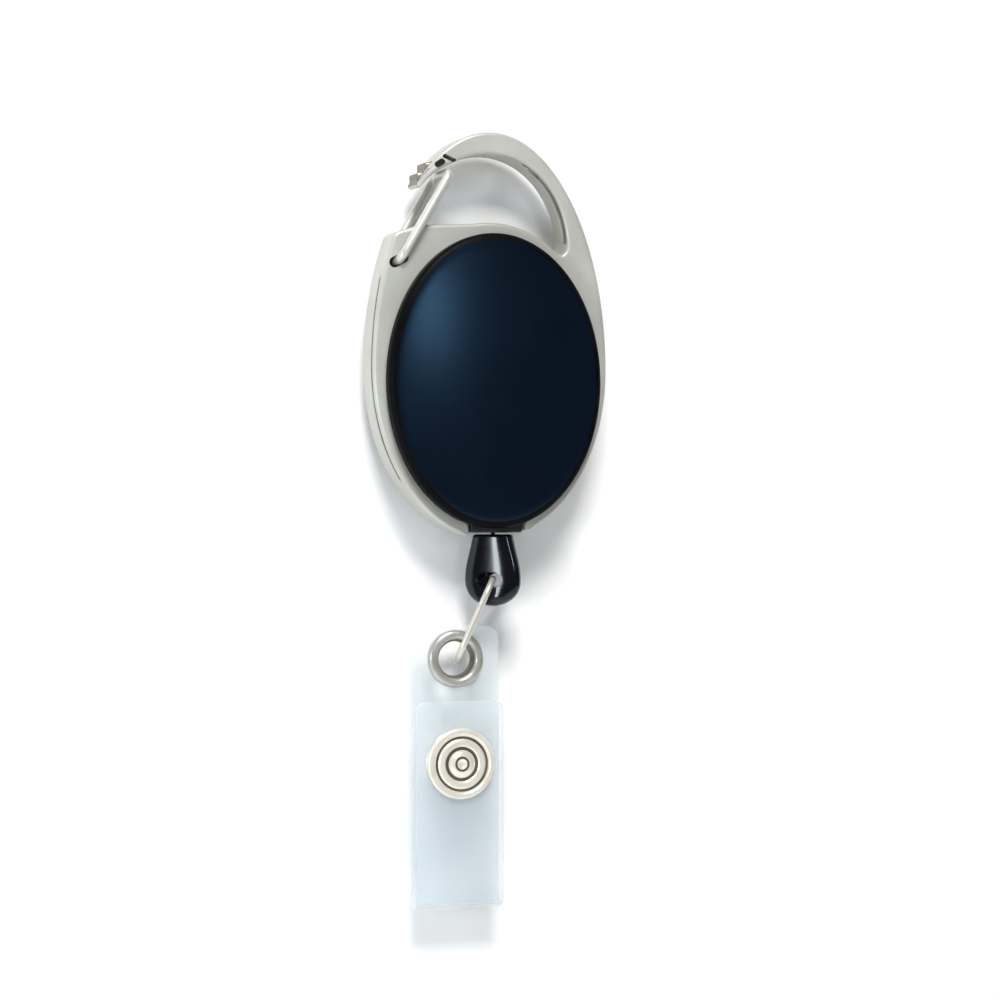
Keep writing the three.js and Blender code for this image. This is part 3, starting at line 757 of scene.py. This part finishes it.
def shade_recesses(body, outline):
    """Paints shade on the nose's pockets and ridged end, and on the floors of the side groove and arch's
    channel: darker copies of the metal stand for the shade there.
    """
    plain, groove_shade, dark = 0, 1, 2
    for finish in (FINISHES["satin_nickel"], GROOVE_PAINTED_SHADE, POCKET_PAINTED_SHADE):
        body.data.materials.append(finish)
    nearest = kdtree.KDTree(len(outline))
    for i, (_, point) in enumerate(outline):
        nearest.insert((point.x, point.y, 0), i)
    nearest.balance()
    for face in body.data.polygons:
        spot = Vector((face.center.x / MM, face.center.z / MM + HOOK_HEIGHT))
        front = -face.center.y / MM
        # Painted shade: the pocket floors get the darkest copy of the metal.
        if on_nose(spot) and POCKET_FLOOR - 0.1 < front < 2.9 and in_pocket(spot):
            face.material_index = dark
            continue
        _, closest, depth = nearest.find((spot.x, spot.y, 0))
        kind = outline[closest][0]
        # Painted shade: groove and channel floors and the ridged nose end get the darker copy of the metal.
        grooved = kind in ("outside", "arch") and depth > 0.22 and abs(front) < 2.6
        ridged_end = kind == "outside" and on_nose(spot) and spot.x < RIDGED_TO_X
        ridged = ridged_end and depth < 0.9 and abs(front) < 2.35
        face.material_index = groove_shade if grooved or ridged else plain


def gate():
    """A bent wire: two legs on the pivot, joined by a crossbar under the nose."""
    corners = [(PIVOT[0], GATE_TAIL, PIVOT[1]), (PIVOT[0], GATE_REACH, PIVOT[1])]
    corners.append((CROSSBAR[0], GATE_REACH, CROSSBAR[1]))
    corners += [(x, -front, z) for x, front, z in reversed(corners)]
    wire = tube("gate_spring_wire", rounded_path(corners, GATE_BEND), GATE_WIRE, 24)
    return placed(wire, "gate_steel", "gate", ["gate_wire"], sharp=60)


# ---- reel case ----
def oval(inset, front, segments=144):
    """One ring of the case, so far inside its outline; near the middle it turns round."""
    if inset >= COVER_X:
        return [(0.0, front, 0.0)]
    even_rim = 2.0
    share = max(0.0, (inset - even_rim) / (COVER_X - even_rim))
    wide = COVER_X - inset
    tall = COVER_Z - inset - share * (COVER_Z - COVER_X)
    angles = angles_round(segments)
    return [(wide * math.cos(a), front, tall * math.sin(a)) for a in angles]


def dome(crown, edge_inset, edge_front, steps=22):
    """(inset, front) from the dome's rim to its crown."""
    rows = []
    for i in range(1, steps + 1):
        share = i / steps
        inset = edge_inset + (COVER_X - edge_inset) * share
        rows.append((inset, edge_front + (crown - edge_front) * (1 - (1 - share) ** 2)))
    return rows


def exit_notch(name):
    """The part of a shell that is cut away for the nozzle."""
    left, right = EXIT_X - EXIT_HALF_GAP, EXIT_X + EXIT_HALF_GAP
    low, high, half_depth = EXIT_BOTTOM - 2.4, EXIT_TOP + 1.5, FRAME_HALF_DEPTH + 0.05
    return block(name, [(left, low), (right, low), (right, high), (left, high)], -half_depth, half_depth)


def at_each_screw(name, profile, segments):
    """The same turned form at each of the case's screws."""
    return [turned(name, profile, x, z, segments) for x, z in CASE_SCREWS]


def front_cover():
    """A domed shell, open behind, with a boss for each screw; its side wall is duller than its face."""
    split = SPLIT + 0.15
    wall = [(1.1, split), (1.1, 3.42), (0.12, 3.42), (0.0, 3.54), (0.0, 4.3), (0.0, 5.0)]
    corner = [(0.06, 5.22), (0.2, 5.44), (0.42, 5.62), (0.72, 5.76), (1.1, 5.87), (1.6, 5.97)]
    outside = wall + corner + dome(7.1, 1.6, 5.97)
    inside = [(COVER_X, 5.9), (8.0, 5.6), (3.6, 4.9), (2.4, 4.4), (2.1, 3.9), (2.1, split)]
    rings = [oval(*row) for row in outside] + [oval(*row) for row in inside]
    shell = ring_solid("front_shell", rings, closed=True)
    bosses = at_each_screw("boss", cylinder(BOSS_RADIUS, split, 5.3), 32)
    bores = at_each_screw("bore", cylinder(0.8, split - 1, 3.7), 24)
    carve(shell, *bosses, operation="UNION")
    carve(shell, exit_notch("notch"), *bores)
    wall_height = at(0, 5.83, 0).y
    two_toned(shell, FINISHES["navy_cover"], COVER_WALL, lambda spot: spot.y >= wall_height)
    return placed(shell, "navy_cover", "case", ["front_cover"], sharp=40)


def rear_cover():
    """A flat-backed shell, open in front, with sunk seats for the screw heads."""
    split = SPLIT - 0.15
    outside = [(COVER_X, REAR_FACE), (9.0, REAR_FACE), (1.9, REAR_FACE), (1.4, -4.97), (0.9, -4.85)]
    outside += [(0.45, -4.62), (0.15, -4.3), (0.0, -3.9), (0.0, -3.54)]
    outside += [(0.12, -3.42), (1.1, -3.42), (1.1, split)]
    inside = [(2.1, split), (2.1, -3.4), (9.0, -3.4), (COVER_X, -3.4)]
    shell = ring_solid("rear_shell", [oval(*row) for row in outside + inside], closed=True)
    bosses = at_each_screw("boss", cylinder(BOSS_RADIUS, -4.2, split), 32)
    bores = at_each_screw("bore", cylinder(0.95, -CUT, 0), 24)
    heads = at_each_screw("head", [(0, -CUT), (1.95, -CUT), (1.85, -3.8), (0, -3.8)], 40)
    seat = turned("seat", cylinder(2.3, -4.5, 0), segments=40)
    carve(shell, *bosses, operation="UNION")
    carve(shell, exit_notch("notch"), seat, *bores, *heads)
    return placed(shell, "black_case", "case", ["rear_cover"])


def case_screw(index, place):
    """A pan head with a cross recess, and a threaded shank."""
    x, z = place
    profile = [(0, -4.85), (1.1, -4.85), (1.45, -4.78), (1.6, -4.62)]
    profile += [(1.6, -4.15), (1.5, -4.1), (0.65, -4.1)]
    crest, root, half_pitch = 0.78, 0.62, 0.28
    for i in range(24):
        profile.append((crest if i % 2 else root, -4.0 + i * half_pitch))
    profile.append((0, 3.2))
    screw = turned(f"case_screw_{index}_detail", profile, x, z, 40)
    for half_x, half_z in ((1.15, 0.2), (0.2, 1.15)):
        corners = [(x + half_x * i, z + half_z * j) for i, j in ((-1, -1), (1, -1), (1, 1), (-1, 1))]
        carve(screw, block("cross", corners, -CUT, -4.4))
    return placed(screw, "inner_steel", "case", [f"case_screw_{index}"])


def exit_nozzle():
    """A chamfered block in the frame's bottom gap, bored for the cord."""
    half, depth = EXIT_HALF_GAP - 0.3, FRAME_HALF_DEPTH - 0.3
    low, high, left, right = EXIT_BOTTOM, EXIT_TOP, EXIT_X - half, EXIT_X + half
    chamfer_x, chamfer_z = 1.2, 0.9
    outline = [(left, low), (right, low), (right, high - chamfer_z), (right - chamfer_x, high)]
    outline += [(left + chamfer_x, high), (left, high - chamfer_z)]
    body = soften(block("nozzle", outline, -depth, depth), 0.35, 20, 4)
    profile = [(0.01, low - 1), (1.15, low - 1), (1.15, low), (0.8, low + 0.5)]
    profile += [(0.8, high - 1.6), (1.8, high + 0.1)]
    carve(body, upright_bore(profile, EXIT_X, EXIT_FRONT, 32))
    return placed(body, "black_case", "case", ["exit_nozzle"])


# ---- cord ----
def cord_winding():
    """Nine turns of cord in three layers on the spool."""
    turns_per_layer, steps = 3, 96
    layers, cord = (12.62, 13.24, 13.86), 0.31
    path = []
    for layer, radius in enumerate(layers):
        for i in range(turns_per_layer * steps):
            share = i / (turns_per_layer * steps)
            side = share if layer % 2 == 0 else 1 - share
            angle = 2 * math.pi * i / steps
            rise = smooth_step(share, 0.97, 1.0) * 2 * cord if layer < 2 else 0
            reach = radius + rise
            path.append((reach * math.cos(angle), 0.05 + 1.9 * side, reach * math.sin(angle)))
    coil = tube("winding_turns", path, cord, 10)
    return placed(coil, "black_cord", "spool", ["cord_winding"], sharp=60)


def cord_lead():
    """From the winding, on a tangent, down into the exit."""
    mouth = Vector((EXIT_X, EXIT_TOP - 0.8))
    mean = 13.5
    angle = math.atan2(mouth.y, mouth.x) + math.acos(mean / mouth.length)
    contact = Vector((math.cos(angle), math.sin(angle))) * mean
    start = contact + (mouth - contact).normalized() * 6.0
    corners = [
        (start.x, EXIT_FRONT, start.y),
        (mouth.x, EXIT_FRONT, mouth.y),
        (EXIT_X, EXIT_FRONT, mouth.y - 1.2),
    ]
    lead = tube("cord_lead_braid", rounded_path(corners, 0.9, pitch=0.2), CORD_RADIUS, 14)
    return placed(lead, "black_cord", "case", ["cord_lead"], sharp=60)


def cord_run():
    """The stretch that is pulled out, so it grows between the case and the knot."""
    top, bottom, rows = -23.2, -28.8, 72
    path = [(EXIT_X, EXIT_FRONT, top + (bottom - top) * i / rows) for i in range(rows + 1)]
    run = tube("cord_run_braid", path, CORD_RADIUS, 14)
    placed(run, "black_cord", None, ["cord_run"], sharp=60)
    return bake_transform(run)


def cord_stop():
    """A knot: an overhand turn of the cord, closed on itself."""
    path = []
    for i in range(96):
        angle = 2 * math.pi * i / 96
        reach = 0.30 + 0.16 * math.cos(3 * angle)
        path.append((
            EXIT_X + reach * math.cos(2 * angle) * 1.05,
            EXIT_FRONT + reach * math.sin(2 * angle) * 1.05,
            -29.9 + 0.42 * math.sin(3 * angle),
        ))
    knot = tube("cord_knot", path, 0.30, 12, closed=True)
    return placed(knot, "black_cord", "cord_tail", ["cord_stop"], sharp=60)


def end_half_width(z):
    """Half the teardrop's width at a height."""
    if z > END_BELLY:
        share = (END_TOP - z) / (END_TOP - END_BELLY)
        return END_TOP_HALF + (END_HALF - END_TOP_HALF) * smooth_step(share, -0.25, 1.0)
    share = (END_BELLY - z) / (END_BELLY - END_BOTTOM)
    return END_HALF * math.sqrt(max(0.0, 1 - share**2.3))


def cord_end():
    """A teardrop of superellipse sections, with a long hole across it and a bore from its top."""
    rows, sides, half_depth = 70, 72, 1.7
    rings = []
    for i in range(rows + 1):
        share = (1 - math.cos(math.pi * i / rows)) / 2
        z = END_TOP + (END_BOTTOM - END_TOP) * share
        top_round = math.sqrt(max(0.0, 1 - (1 - min(1.0, (END_TOP - z) / 0.5)) ** 2))
        low = min(1.0, (z - END_BOTTOM) / 1.5)
        low_round = math.sqrt(max(0.0, 1 - (1 - low) ** 2))
        wide = max(0.3, end_half_width(z) - 0.5 * (1 - top_round))
        deep = max(0.15, half_depth * min(1.0, 0.72 + 0.28 * top_round) * low_round)
        ring = []
        for k in range(sides):
            angle = 2 * math.pi * k / sides
            c, s = math.cos(angle), math.sin(angle)
            ring.append((
                wide * math.copysign(abs(c) ** (2 / 2.5), c),
                deep * math.copysign(abs(s) ** (2 / 2.5), s),
                z,
            ))
        rings.append(ring)
    body = ring_solid("teardrop", rings, capped=True)
    angles = angles_round(48)
    across = []
    sizes = [(-4.0, 1.15, 1.1), (-1.0, 1.2, 1.1), (1.7, HOLE_HALF_WIDTH, HOLE_HALF_HEIGHT), (4.0, 3.4, 1.6)]
    for front, wide, tall in sizes:
        across.append([(wide * math.cos(a), front, HOLE_CENTRE + tall * math.sin(a)) for a in angles])
    carve(body, ring_solid("across", across, capped=True))
    soften(body, 0.32, 42, 4)
    for radius, high, low in ((0.8, -24, -29), (1.25, -28.6, -32.0)):
        carve(body, upright_bore([(radius, high), (radius, low)], 0, 0, 48))
    turn_about_cord(body, END_TURN)
    return placed(body, "gloss_black", "cord_end", ["cord_end"], sharp=40)


def turn_about_cord(piece, angle):
    """Turns a piece made round the cord's own axis, and carries it to the cord."""
    for vertex in piece.data.vertices:
        x, y = spun(vertex.co.x, vertex.co.y, angle)
        vertex.co.x = x + EXIT_X * MM
        vertex.co.y = y - EXIT_FRONT * MM


# ---- link ----
def link_ring():
    """A wire ring with straight sides, hanging in the teardrop's hole."""
    straight = LINK_LENGTH - 2 * LINK_HALF_WIDTH
    path = []
    for half, sign in ((0, 1), (1, -1)):
        for i in range(33):
            angle = math.pi * half + math.pi * i / 32
            up = LINK_HALF_WIDTH * math.sin(angle) + sign * straight / 2
            path.append((LINK_HALF_WIDTH * math.cos(angle), up))
        side = -sign * LINK_HALF_WIDTH
        for i in range(1, 20):
            path.append((side, sign * straight / 2 * (1 - 2 * i / 20)))
    placed_path = []
    for across, up in path:
        z, x = spun(up - LINK_LENGTH / 2, 0, LINK_TILT)
        x, y = spun(x, across, LINK_TURN)
        placed_path.append((x + EXIT_X, EXIT_FRONT - y, z + LINK_TOP))
    wire = tube("link_wire", placed_path, LINK_RADIUS, 20, closed=True)
    return placed(wire, "link_steel", "link", ["link_ring"], sharp=60)


# ---- strap ----
def strap_path():
    """(front, z, outward) along the band's middle: down the back, round the fold and up the flap."""
    middle_back = STRAP_BACK + STRAP_THICKNESS / 2
    middle_flap = STRAP_FRONT - STRAP_THICKNESS / 2
    centre = (middle_back + middle_flap) / 2
    radius = (middle_flap - middle_back) / 2
    rows = []
    back_rows, fold_rows, flap_rows = 96, 24, 72
    for i in range(back_rows):
        rows.append((middle_back, STRAP_TOP + (FOLD_Z - STRAP_TOP) * i / back_rows, (-1.0, 0.0)))
    for i in range(fold_rows):
        angle = math.pi + math.pi * i / fold_rows
        rows.append((
            centre + radius * math.cos(angle),
            FOLD_Z + radius * math.sin(angle),
            (math.cos(angle), math.sin(angle)),
        ))
    for i in range(flap_rows + 1):
        rows.append((middle_flap, FOLD_Z + (FLAP_TOP - FOLD_Z) * i / flap_rows, (1.0, 0.0)))
    return rows


def strap_half_width(z, is_flap):
    """Half the band's width, which rounds off at its two ends."""
    end, corner = (FLAP_TOP, 1.4) if is_flap else (STRAP_TOP, 1.8)
    below = end - z
    if below >= corner:
        return STRAP_HALF
    return STRAP_HALF - corner * (1 - math.sqrt(max(0.0, 1 - (1 - below / corner) ** 2)))


def strap():
    """One band of vinyl, folded at the bottom, with holes for the eyelet and the snap."""
    columns, edge_steps = 24, 8
    half = STRAP_THICKNESS / 2
    rings = []
    for front, z, outward in strap_path():
        flat = strap_half_width(z, front > 0) - half
        section = []
        for side in (1, -1):
            section += [(side * flat * (2 * k / columns - 1), side * half) for k in range(columns)]
            for k in range(edge_steps):
                angle = math.pi / 2 - math.pi * k / edge_steps
                section.append((side * (flat + half * math.cos(angle)), side * half * math.sin(angle)))
        rings.append([(STRAP_X + x, front + outward[0] * off, z + outward[1] * off) for x, off in section])
    band = ring_solid("strap_band", rings, capped=True)
    eyelet_hole = turned("hole", cylinder(3.3, -CUT, 0), STRAP_X, EYELET_Z, 64)
    snap_hole = turned("hole", cylinder(1.3, -CUT, CUT), STRAP_X, SNAP_Z, 32)
    carve(band, eyelet_hole, snap_hole)
    placed(band, "clear_vinyl", None, ["strap_back", "strap_fold", "strap_flap"], sharp=50)
    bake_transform(band)
    return band


def eyelet():
    """A rolled ring on the strap's front, with a barrel through it; its throat is painted darker, as shade.
    """
    base = STRAP_BACK + STRAP_THICKNESS + 0.05
    rear = STRAP_BACK - 0.6
    profile = [(2.8, rear), (3.15, rear), (3.15, base), (4.62, base), (4.7, base + 0.1)]
    centre_radius, roll = 3.95, 0.75
    for i in range(15):
        angle = math.pi * i / 14
        profile.append((centre_radius + roll * math.cos(angle), base + 0.15 + 0.55 * math.sin(angle)))
    profile += [(3.0, base - 0.05), (2.86, base - 0.4)]
    ring = turned("eyelet_rolled", profile, STRAP_X, EYELET_Z, 96, closed=True)

    def in_throat(spot):
        return reach_from(spot, STRAP_X, EYELET_Z) < 3.15

    # Painted shade: the throat gets the darker groove copy of the metal.
    two_toned(ring, FINISHES["eyelet_nickel"], GROOVE_PAINTED_SHADE, in_throat)
    return placed(ring, "eyelet_nickel", "strap", ["eyelet"], 40)


def eyelet_washer():
    """The flat ring behind the strap that the eyelet is set in."""
    front, back = STRAP_BACK - 0.05, STRAP_BACK - 0.65
    profile = [(3.4, front), (4.6, front), (4.7, front - 0.12), (4.62, back + 0.2)]
    profile += [(4.35, back), (3.7, back), (3.42, back + 0.15)]
    washer = turned("eyelet_back_ring", profile, STRAP_X, EYELET_Z, 96, closed=True)
    return placed(washer, "snap_nickel", "strap", ["eyelet_washer"], 40)


def snap_cap():
    """A pressed cap with rings about a boss; its grooves are painted darker, as shade with a brown painted
    reflection.
    """
    base = STRAP_FRONT + 0.05
    steps = 96
    barb = STRAP_FRONT - STRAP_THICKNESS - 0.5
    profile = [(0, barb), (0.9, barb), (0.9, base), (5.45, base)]
    profile += [(5.68, base + 0.08), (5.75, base + 0.28), (5.7, base + 0.5)]
    for i in range(steps + 1):
        radius = 5.6 * (1 - i / steps)
        rim = 0.16 * window(radius, 4.95, 5.45, 0.25)
        ring = 0.20 * window(radius, 3.1, 3.75, 0.3)
        boss = 0.30 * (1 - smooth_step(radius, 1.35, 2.2))
        dimple = 0.14 * (1 - smooth_step(radius, 0.25, 0.8))
        profile.append((radius, base + 0.62 + rim + ring + boss - dimple))
    cap = turned("snap_cap_rings", profile, STRAP_X, SNAP_Z, 96)
    front = at(0, base + 0.5, 0).y
    grooves = ((0.9, 1.2), (2.3, 2.8), (4.1, 4.5))

    def in_groove(spot):
        reach = reach_from(spot, STRAP_X, SNAP_Z)
        return spot.y < front and any(low < reach < high for low, high in grooves)

    # Painted shade and a brown painted reflection in the cap's grooves.
    two_toned(cap, FINISHES["snap_nickel"], SNAP_GROOVE_PAINTED_SHADE, in_groove)
    return placed(cap, "snap_nickel", "flap", ["snap_cap"], sharp=40)


def snap_socket():
    """The part of the snap that is on the flap's back, under the cap."""
    back = STRAP_FRONT - STRAP_THICKNESS
    drops = [(1.2, 0.8), (2.3, 0.8), (2.38, 1.1), (2.6, 1.18), (3.1, 1.18), (3.4, 1.05), (3.6, 0.8)]
    drops += [(4.4, 0.68), (5.1, 0.62), (5.2, 0.5), (5.2, 0.12), (5.1, 0.05), (1.2, 0.05)]
    profile = [(radius, back - drop) for radius, drop in drops]
    socket = turned("snap_socket_ring", profile, STRAP_X, SNAP_Z, 80, closed=True)
    return placed(socket, "snap_nickel", "flap", ["snap_socket"])


def snap_stud():
    """The part of the snap that stands on the strap's back layer and holds the socket."""
    base = STRAP_BACK + STRAP_THICKNESS + 0.05
    rises = [(0, 0), (5.1, 0), (5.2, 0.1), (5.2, 0.32), (5.05, 0.42), (2.0, 0.3), (1.55, 0.45)]
    rises += [(1.72, 0.62), (1.75, 0.74), (1.6, 0.86), (1.2, 0.9), (0, 0.9)]
    profile = [(radius, base + rise) for radius, rise in rises]
    stud = turned("snap_stud_disc", profile, STRAP_X, SNAP_Z, 80)
    return placed(stud, "snap_nickel", "strap", ["snap_stud"])


def snap_post():
    """The flat rivet behind the strap that holds the stud."""
    back = STRAP_BACK
    drops = [(0, 0.62), (0.9, 0.62), (1.2, 0.75), (3.9, 0.75), (4.5, 0.66), (4.9, 0.48), (5.0, 0.3)]
    drops += [(5.0, 0.1), (4.9, 0.05), (0.9, 0.05), (0.9, -STRAP_THICKNESS), (0, -STRAP_THICKNESS)]
    profile = [(radius, back - drop) for radius, drop in drops]
    post = turned("snap_post_disc", profile, STRAP_X, SNAP_Z, 80)
    return placed(post, "snap_nickel", "strap", ["snap_post"])


# ---- inner CAD nodes that keep their own shape ----
def carried_over(node, finish):
    """Gives an inner CAD node its finish and leaves its shape."""
    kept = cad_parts[node]
    kept.data.materials.clear()
    kept.data.materials.append(FINISHES[finish])


camera()
lighting()
backdrop()

cord_winding()
cord_lead()
cord_run()
cord_stop()

carabiner_frame()
gate()
front_cover()
rear_cover()
exit_nozzle()
for number, spot in enumerate(CASE_SCREWS, start=1):
    case_screw(number, spot)
cord_end()
link_ring()
strap()
eyelet()
eyelet_washer()
snap_cap()
snap_socket()
snap_stud()
snap_post()

for inner_node in ("spool", "spool_cap"):
    carried_over(inner_node, "white_plastic")
for inner_node in ("power_spring", "arbor", "arbor_washer", "arbor_screw"):
    carried_over(inner_node, "inner_steel")
